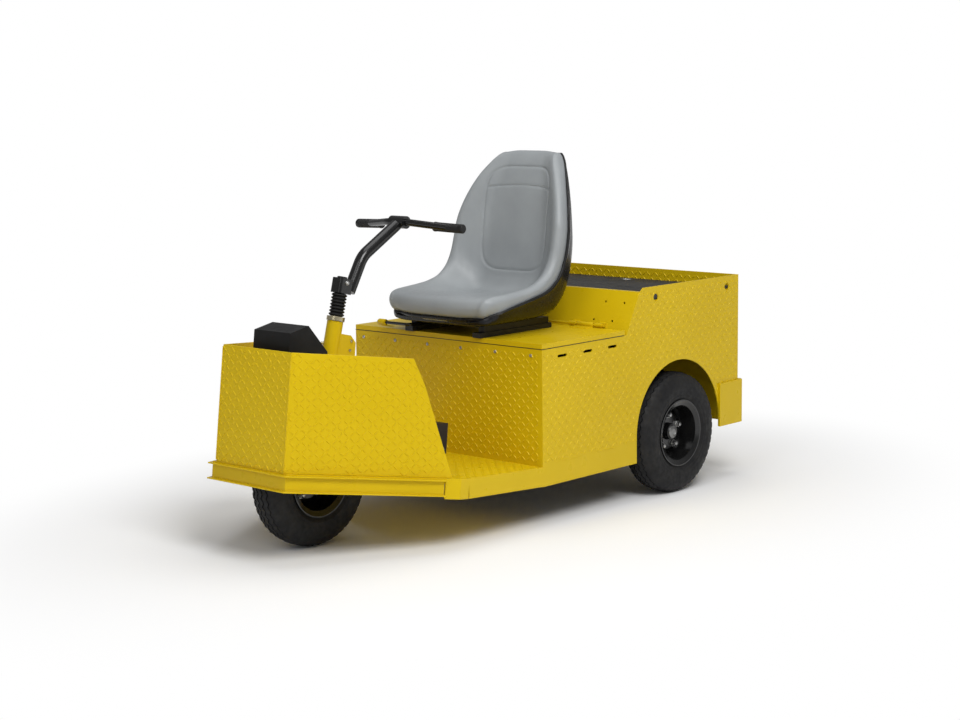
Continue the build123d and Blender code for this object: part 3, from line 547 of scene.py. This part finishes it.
bumperBolts = {"xs": (-340, -170, 170, 340), "z": 266, "radius": 10 * mm, "height": 9 * mm}
bm = bmesh.new()
for x in bumperBolts["xs"]:
    hexHead(bm, Vector((x * mm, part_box("rear_bumper")[1].y, bumperBolts["z"] * mm)), Vector((0, 1, 0)),
        bumperBolts["radius"], bumperBolts["height"])
addPiece("bumper_bolts", bm, steel, "chassis")
print("fasteners done")


# Weld beads, a black strip of painted shade in the lid gap, deck pull, grips and the sleeve of the seat
# lever

def weldBead(bm, start, end, radius, pitch):
    along = (end - start).normalized()
    count = int((end - start).length / pitch)
    for i in range(count):
        place = facing(start + along * pitch * (i + 0.5), along)
        lathe(bm, place, [(radius * 0.3, -pitch * 0.6), (radius * 0.9, -pitch * 0.3), (radius, 0),
            (radius * 0.9, pitch * 0.3), (radius * 0.3, pitch * 0.6)], 8)


noseWeld = {"radius": 2.2 * mm, "pitch": 4.2 * mm, "trim": 6 * mm}
bm = bmesh.new()
for side in (-1, 1):
    spots = [v.co for v in nodes["nose_front_plate"].data.vertices]
    top = max(spots, key=lambda p: side * p.x + 0.5 * p.z - 0.2 * p.y)
    foot = max(spots, key=lambda p: side * p.x - 0.5 * p.z - 0.2 * p.y)
    drop = (foot - top).normalized() * noseWeld["trim"]
    weldBead(bm, top + drop, foot - drop, noseWeld["radius"], noseWeld["pitch"])
addPiece("nose_corner_welds", bm, paint, "chassis")

sillWeld = {"z": 204, "runs": [(-650, -512), (-436, -328)], "radius": 1.8 * mm, "pitch": 4 * mm,
    "sink": 0.8 * mm}
bm = bmesh.new()
for side, node in ((1, "side_panel_left"), (-1, "side_panel_right")):
    for first, last in sillWeld["runs"]:
        ends = []
        for y in (first, last):
            spot, normal = surfaceSpot(node, at(side * 900, y, sillWeld["z"]), Vector((-side, 0, 0)))
            ends.append(spot - normal * sillWeld["sink"])
        weldBead(bm, ends[0], ends[1], sillWeld["radius"], sillWeld["pitch"])
addPiece("sill_welds", bm, paint, "chassis")

# The black rubber strip below the lid's edge is painted shade: it stands in for the shadow in the gap
# between the lid and the body.
lidGapShadeStrip = {"thick": 1.8 * mm, "proud": 0.6 * mm, "back": 3 * mm, "gap": 0.1 * mm, "trim": 12 * mm}
bm = bmesh.new()
lidLow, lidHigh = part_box("seat_lid")
z = lidLow.z - lidGapShadeStrip["thick"] / 2 - lidGapShadeStrip["gap"]
rear = lidHigh.y - lidGapShadeStrip["trim"]
corners = [(lidHigh.x, rear), (lidHigh.x, lidLow.y), (lidLow.x, lidLow.y), (lidLow.x, rear)]
rings = []
for x, y in corners:
    outward = Vector((math.copysign(1, x), -1 if y == lidLow.y else 0, 0))
    out = Vector((x, y, z)) + outward * lidGapShadeStrip["proud"]
    inner = Vector((x, y, z)) - outward * lidGapShadeStrip["back"]
    lift = Vector((0, 0, lidGapShadeStrip["thick"] / 2))
    rings.append([out - lift, out + lift, inner + lift, inner - lift])
loft(bm, rings)
addPiece("lid_gap_painted_shade_strip", bm, rubber, "chassis", smooth=False)

deckPull = {"middle": (-37, 311), "long": 19 * mm, "wide": 9 * mm, "rim": 2.2 * mm, "turn": 35,
    "lift": 0.6 * mm, "steps": 32}
bm = bmesh.new()
turned = Matrix.Rotation(math.radians(deckPull["turn"]), 3, "Z")
pullSpot = at(*deckPull["middle"], 0)
ovalRing = []
for k in range(deckPull["steps"]):
    t = 2 * math.pi * k / deckPull["steps"]
    flat = turned @ Vector((deckPull["long"] * math.cos(t), deckPull["wide"] * math.sin(t), 0))
    ovalRing.append(Vector((pullSpot.x + flat.x, pullSpot.y + flat.y, deckTop + deckPull["lift"])))
tube(bm, ovalRing, deckPull["rim"], 8, closed=True)
addPiece("deck_pull_ring", bm, capGrey, "chassis")

grip = {"radius": 14.6 * mm, "groove": 13.7 * mm, "bore": 11.2 * mm, "ribs": 15, "plainEnd": 14 * mm}


def gripEnds(side):
    spots = [v.co for v in nodes["hand_grips"].data.vertices if v.co.x * side > 0]
    axis = Vector((side, 0, 0))
    for turn in range(6):
        spans = [p.dot(axis) for p in spots]
        inner = [p for p, t in zip(spots, spans) if t < min(spans) + 0.001]
        outer = [p for p, t in zip(spots, spans) if t > max(spans) - 0.001]
        ends = [sum(group, Vector()) / len(group) for group in (inner, outer)]
        axis = (ends[1] - ends[0]).normalized()
    return ends


bm = bmesh.new()
for side in (-1, 1):
    inner, outer = gripEnds(side)
    length = (outer - inner).length
    r, g = grip["radius"], grip["groove"]
    profile = [(grip["bore"], 0), (r * 1.02, 0), (r * 1.06, 0.0012), (r * 1.06, 0.006), (r, 0.0075)]
    step = (length - 2 * grip["plainEnd"]) / grip["ribs"]
    for k in range(grip["ribs"]):
        z = grip["plainEnd"] + k * step
        profile += [(r, z), (g, z + 0.18 * step), (g, z + 0.42 * step), (r, z + 0.6 * step)]
    profile += [(r, length - 0.006), (r * 0.96, length - 0.002), (r * 0.8, length), (r * 0.1, length)]
    lathe(bm, facing(inner, outer - inner), profile, 24)
addPiece("ribbed_hand_grips", bm, rubber, "steering", replaced=("hand_grips",))

sleeve = {"length": 34 * mm, "grow": 1.6 * mm, "tip": 12 * mm, "past": 2 * mm}
tip = min((v.co for v in nodes["seat_lever"].data.vertices), key=lambda p: p.x)
tipRing = [v.co for v in nodes["seat_lever"].data.vertices if v.co.x < tip.x + sleeve["tip"]]
middle = sum(tipRing, Vector()) / len(tipRing)
reach = max((p - middle).yz.length for p in tipRing) + sleeve["grow"]
bm = bmesh.new()
place = facing(Vector((tip.x - sleeve["past"], middle.y, middle.z)), Vector((1, 0, 0)))
n = sleeve["length"]
lathe(bm, place, [(reach * 0.3, 0), (reach * 0.85, 0.001), (reach, 0.004), (reach, n - 0.003),
    (reach * 0.9, n), (reach * 0.4, n)], 20)
addPiece("lever_sleeve", bm, paint, "seat_deck")
print("welds, seal and small fittings done")


# Bucket seat. Lines run from the front lip over the cushion and up the back, in (Y, Z) millimetres

seat = {
    "middle": [(-752, 651), (-765, 661), (-767, 684), (-753, 706), (-722, 714), (-670, 711), (-600, 705),
        (-530, 699), (-460, 697), (-408, 706), (-378, 742), (-362, 800), (-350, 870), (-338, 945),
        (-325, 1015), (-309, 1075), (-292, 1122), (-276, 1150), (-260, 1163), (-246, 1163)],
    "crest": [(-731, 652), (-745, 663), (-750, 686), (-737, 708), (-708, 718), (-662, 722), (-598, 727),
        (-538, 735), (-487, 752), (-446, 786), (-421, 832), (-406, 884), (-394, 938), (-378, 990),
        (-358, 1040), (-336, 1085), (-312, 1122), (-292, 1145), (-272, 1157), (-254, 1158)],
    "lip": [(-724, 655), (-718, 658), (-709, 662), (-697, 666), (-681, 671), (-645, 681), (-590, 692),
        (-533, 703), (-478, 716), (-436, 738), (-400, 775), (-374, 835), (-355, 905), (-338, 970),
        (-318, 1030), (-294, 1082), (-268, 1122), (-254, 1142), (-247, 1152), (-243, 1154)],
    "base": [(-750, 645), (-748, 637), (-740, 632), (-726, 631), (-705, 631), (-660, 631), (-595, 631),
        (-528, 631), (-458, 634), (-392, 650), (-345, 700), (-318, 772), (-304, 850), (-293, 935),
        (-280, 1010), (-266, 1070), (-253, 1115), (-245, 1140), (-242, 1152), (-241, 1156)],
    "halfWidth": [(196,), (206,), (216,), (225,), (233,), (239,), (241,), (241,), (240,), (240,), (240,),
        (240,), (236,), (222,), (202,), (178,), (152,), (134,), (122,), (116,)],
    "alongSteps": 340, "acrossSteps": 92, "underSteps": 12,
    "shellGap": 9, "shellThick": 4, "shellAlong": 110, "shellAcross": 26,
    "seamDepth": 3.2, "seamWidth": 3.0, "seamBelow": 30, "seamFront": -470, "seamArch": 10,
    "bandRadius": 7.5, "bandSteps": 40, "bandDrop": (0, 3, -6), "trimRadius": 3.6, "trimSteps": 140,
    "insert": {"x": 140, "low": 768, "high": 1112, "corner": 5.0, "crossZ": 1050},
}
# Share of half width, of the rise to the crest, of the way down to the lip
padAcross = [(0, 0, 0), (0.30, 0.0, 0), (0.52, 0.07, 0), (0.70, 0.46, 0), (0.84, 0.91, 0),
    (0.925, 1.0, 0), (0.985, 1.0, 0.26), (1.0, 1.0, 0.60), (0.992, 1.0, 1.0)]


def seatStation(share):
    lines = {key: curveThrough(seat[key], share) for key in ("middle", "crest", "lip", "base")}
    return lines, curveThrough(seat["halfWidth"], share)[0]


def padPoint(lines, half, u):
    across, rise, fall = curveThrough(padAcross, u)
    spot = [m + rise * (c - m) for m, c in zip(lines["middle"], lines["crest"])]
    spot = [s + fall * (b - c) for s, c, b in zip(spot, lines["crest"], lines["lip"])]
    return Vector((across * half, spot[0], spot[1]))


def seamDip(p):  # depth of the sewn lines on the back
    insert = seat["insert"]
    if p.z < insert["low"] - seat["seamBelow"] or p.y < seat["seamFront"]:
        return 0.0
    middleZ = (insert["low"] + insert["high"]) / 2
    halfZ = (insert["high"] - insert["low"]) / 2
    n = insert["corner"]
    ring = (abs(p.x / insert["x"]) ** n + abs((p.z - middleZ) / halfZ) ** n) ** (1 / n)
    away = abs(ring - 1) * insert["x"]
    if ring < 1:
        arched = insert["crossZ"] - seat["seamArch"] * (p.x / insert["x"]) ** 2
        away = min(away, abs(p.z - arched))
    return seat["seamDepth"] * math.exp(-(away / seat["seamWidth"]) ** 2)


def seatPad():
    bm = bmesh.new()
    rings = []
    for i in range(seat["alongSteps"] + 1):
        lines, half = seatStation(i / seat["alongSteps"])
        top = [padPoint(lines, half, j / seat["acrossSteps"]) for j in range(seat["acrossSteps"] + 1)]
        out = Vector((0, *[b - m for m, b in zip(lines["middle"], lines["base"])])).normalized()
        top = [p + out * seamDip(p) for p in top]
        under = []
        for j in range(1, seat["underSteps"] + 1):
            t = j / seat["underSteps"]
            sink = math.sin(t * math.pi / 2)
            under.append(Vector((0.985 * half * (1 - t) ** 0.6,
                *[b + sink * (d - b) for b, d in zip(lines["lip"], lines["base"])])))
        right = top + under
        left = [Vector((-p.x, p.y, p.z)) for p in right[1:-1]]
        rings.append([at(*p) for p in right + left[::-1]])
    loft(bm, rings)
    pad = addPiece("seat_pad", bm, vinyl, "seat_deck",
        replaced=("seat_cushion", "seat_backrest"))


def shellPoint(lines, half, t):
    under = Vector((0, *[d - m for m, d in zip(lines["middle"], lines["base"])])).normalized()
    deep = Vector((0, *lines["base"])) + under * seat["shellGap"]
    path = [(1.012, -0.02), (1.03, 0.03), (1.012, 0.16), (0.975, 0.50), (0.89, 0.84), (0.70, 0.985),
        (0.35, 1.0), (0.0, 1.0)]
    across, sink = curveThrough(path, t)
    return Vector((across * half, lines["lip"][0] + sink * (deep.y - lines["lip"][0]),
        lines["lip"][1] + sink * (deep.z - lines["lip"][1])))


def seatShell():
    bm = bmesh.new()
    rows = []
    steps = seat["shellAcross"]
    for i in range(seat["shellAlong"] + 1):
        lines, half = seatStation(i / seat["shellAlong"])
        right = [shellPoint(lines, half, j / steps) for j in range(steps + 1)]
        left = [Vector((-p.x, p.y, p.z)) for p in right[:-1]]
        rows.append([at(*p) for p in left + right[::-1]])
    loft(bm, rows, closedRings=False, caps=False)
    shell = addPiece("seat_moulded_shell", bm, shellBlack, "seat_deck",
        replaced=("seat_shell",))
    thick = shell.modifiers.new("thick", "SOLIDIFY")
    thick.thickness = seat["shellThick"] * mm
    thick.offset = -1


def lipTrim():
    bm = bmesh.new()
    right = []
    for i in range(seat["trimSteps"] + 1):
        lines, half = seatStation(i / seat["trimSteps"])
        right.append(Vector((half * 1.012, *lines["lip"])))
    left = [Vector((-p.x, p.y, p.z)) for p in reversed(right)]
    tube(bm, [at(*p) for p in right + left], seat["trimRadius"] * mm, 8, closed=True)
    addPiece("seat_edge_trim", bm, rubber, "seat_deck")


def frontBand():  # rolled front lip of the shell, under the nose of the cushion
    bm = bmesh.new()
    lines, half = seatStation(0)
    steps = seat["bandSteps"]
    right = [padPoint(lines, half, 1 - i / steps) for i in range(steps + 1)]
    left = [Vector((-p.x, p.y, p.z)) for p in reversed(right[:-1])]
    drop = Vector(seat["bandDrop"])
    tube(bm, [at(*(p + drop)) for p in right + left], seat["bandRadius"] * mm, 12)
    addPiece("seat_front_lip", bm, shellBlack, "seat_deck")


seatPad()
seatShell()
frontBand()
lipTrim()
print("seat done")


# Floor, light and camera

def paleFloor():
    stageLook = {"size": 40.0, "color": (0.93, 0.93, 0.93), "fadeStart": 1.0, "fadeEnd": 2.2,
        "squeeze": (1.45, 1, 1)}
    bm = bmesh.new()
    bmesh.ops.create_grid(bm, x_segments=1, y_segments=1, size=stageLook["size"])
    mesh = bpy.data.meshes.new("floor")
    bm.to_mesh(mesh)
    bm.free()
    floor = bpy.data.objects.new("floor", mesh)
    bpy.context.scene.collection.objects.link(floor)
    mat, tree, bsdf = newShader("pale_floor", stageLook["color"], 0.9)
    coords = tree.nodes.new("ShaderNodeTexCoord")
    oval = tree.nodes.new("ShaderNodeMapping")
    oval.inputs["Scale"].default_value = stageLook["squeeze"]
    reach = tree.nodes.new("ShaderNodeVectorMath")
    reach.operation = "LENGTH"
    fade = tree.nodes.new("ShaderNodeMapRange")
    fade.interpolation_type = "SMOOTHSTEP"
    fade.inputs["From Min"].default_value = stageLook["fadeStart"]
    fade.inputs["From Max"].default_value = stageLook["fadeEnd"]
    path = tree.nodes.new("ShaderNodeLightPath")
    seen = tree.nodes.new("ShaderNodeMath")
    seen.operation = "MAXIMUM"
    share = tree.nodes.new("ShaderNodeMath")
    share.operation = "MULTIPLY"
    white = tree.nodes.new("ShaderNodeEmission")
    mix = tree.nodes.new("ShaderNodeMixShader")
    links = tree.links
    links.new(coords.outputs["Object"], oval.inputs["Vector"])
    links.new(oval.outputs["Vector"], reach.inputs[0])
    links.new(reach.outputs["Value"], fade.inputs["Value"])
    links.new(path.outputs["Is Camera Ray"], seen.inputs[0])
    links.new(path.outputs["Is Glossy Ray"], seen.inputs[1])
    links.new(fade.outputs["Result"], share.inputs[0])
    links.new(seen.outputs["Value"], share.inputs[1])
    links.new(share.outputs["Value"], mix.inputs["Fac"])
    links.new(bsdf.outputs["BSDF"], mix.inputs[1])
    links.new(white.outputs["Emission"], mix.inputs[2])
    links.new(mix.outputs["Shader"], tree.nodes["Material Output"].inputs["Surface"])
    mesh.materials.append(mat)


def whiteWorld():
    strength = 0.28
    world = bpy.data.worlds.new("studio")
    world.use_nodes = True
    tree = world.node_tree
    soft = tree.nodes["Background"]
    soft.inputs["Strength"].default_value = strength
    soft.inputs["Color"].default_value = (1, 1, 1, 1)
    plain = tree.nodes.new("ShaderNodeBackground")
    plain.inputs["Color"].default_value = (1, 1, 1, 1)
    path = tree.nodes.new("ShaderNodeLightPath")
    mix = tree.nodes.new("ShaderNodeMixShader")
    tree.links.new(path.outputs["Is Camera Ray"], mix.inputs["Fac"])
    tree.links.new(soft.outputs["Background"], mix.inputs[1])
    tree.links.new(plain.outputs["Background"], mix.inputs[2])
    tree.links.new(mix.outputs["Shader"], tree.nodes["World Output"].inputs["Surface"])
    bpy.context.scene.world = world


def softLamp(name, place, target, power, width):
    lamp = bpy.data.lights.new(name, "AREA")
    lamp.shape = "DISK"
    lamp.size = width
    lamp.energy = power
    obj = bpy.data.objects.new(name, lamp)
    obj.location = place
    obj.rotation_euler = (Vector(target) - Vector(place)).to_track_quat("-Z", "Y").to_euler()
    bpy.context.scene.collection.objects.link(obj)


studio = {"middle": (0, 0, 0.5), "key": (3.4, -1.6, 4.4), "keyPower": 165, "fill": (1.4, -4.4, 3.4),
    "fillPower": 42, "top": (0.2, 0.4, 4.6), "topPower": 62, "sideWidth": 2.6, "topWidth": 3.4}
softLamp("key", studio["key"], studio["middle"], studio["keyPower"], studio["sideWidth"])
softLamp("fill", studio["fill"], studio["middle"], studio["fillPower"], studio["sideWidth"])
softLamp("top", studio["top"], studio["middle"], studio["topPower"], studio["topWidth"])
paleFloor()
whiteWorld()

view = {"yaw": 42.1, "pitch": 8.2, "roll": -0.7, "focal": 1913, "centre": (481.2, 356.4),
    "place": (4225.7, -5202.8, 1399.4), "imageWidth": 960, "imageHeight": 720, "sensor": 36.0}


def photoCamera():
    yaw, pitch, roll = (math.radians(view[key]) for key in ("yaw", "pitch", "roll"))
    back = Vector((math.sin(yaw) * math.cos(pitch), -math.cos(yaw) * math.cos(pitch), math.sin(pitch)))
    level = Vector((math.cos(yaw), math.sin(yaw), 0))
    plumb = back.cross(level)
    right = math.cos(roll) * level + math.sin(roll) * plumb
    up = math.cos(roll) * plumb - math.sin(roll) * level
    camera = bpy.data.cameras.new("photo_view")
    camera.sensor_width = view["sensor"]
    camera.lens = view["focal"] * view["sensor"] / view["imageWidth"]
    camera.shift_x = (view["imageWidth"] / 2 - view["centre"][0]) / view["imageWidth"]
    camera.shift_y = (view["centre"][1] - view["imageHeight"] / 2) / view["imageWidth"]
    camera.clip_end = 200
    obj = bpy.data.objects.new("photo_view", camera)
    turn = Matrix((right, up, back)).transposed().to_4x4()
    obj.matrix_world = Matrix.Translation(at(*view["place"])) @ turn
    bpy.context.scene.collection.objects.link(obj)
    bpy.context.scene.camera = obj


photoCamera()
bpy.context.scene.view_settings.view_transform = "Standard"
bpy.context.view_layer.update()
